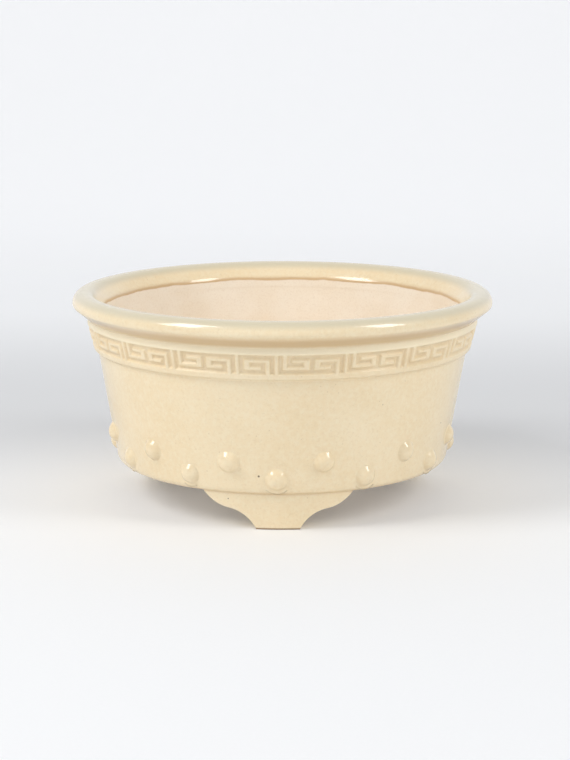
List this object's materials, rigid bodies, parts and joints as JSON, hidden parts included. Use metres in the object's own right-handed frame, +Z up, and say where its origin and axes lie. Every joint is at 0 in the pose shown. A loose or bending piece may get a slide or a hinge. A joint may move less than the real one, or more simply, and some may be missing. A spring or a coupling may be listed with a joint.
{
  "type": "bonsai pot",
  "caption": "Round glazed bonsai pot with a rolled lip, a raised key-fret band, staggered rings of domed studs, cloud-shaped bracket feet and a drain hole.",
  "frame": {"origin": "on the pot's axis, in the plane that the feet stand on", "axes": "+Z up along the pot's axis; the front foot is at -Y"},
  "size_m": [0.15, 0.15, 0.074],
  "materials": {
    "glaze": "glossy cream glaze with fine speckle",
    "bare_clay": "matt unglazed pinkish buff clay"
  },
  "bodies": {
    "root": {"floor_slab": "bare_clay", "foot_front": "glaze", "foot_rear_left": "glaze", "foot_rear_right": "glaze", "fret_band_left": "glaze", "fret_band_right": "glaze", "pot_wall": "glaze", "rim_lip": "glaze", "stud_high_01": "glaze", "stud_high_02": "glaze", "stud_high_03": "glaze", "stud_high_04": "glaze", "stud_high_05": "glaze", "stud_high_06": "glaze", "stud_high_07": "glaze", "stud_high_08": "glaze", "stud_high_09": "glaze", "stud_high_10": "glaze", "stud_high_11": "glaze", "stud_high_12": "glaze", "stud_low_01": "glaze", "stud_low_02": "glaze", "stud_low_03": "glaze", "stud_low_04": "glaze", "stud_low_05": "glaze", "stud_low_06": "glaze", "stud_low_07": "glaze", "stud_low_08": "glaze", "stud_low_09": "glaze", "stud_low_10": "glaze", "stud_low_11": "glaze", "stud_low_12": "glaze"}
  },
  "joints": []
}
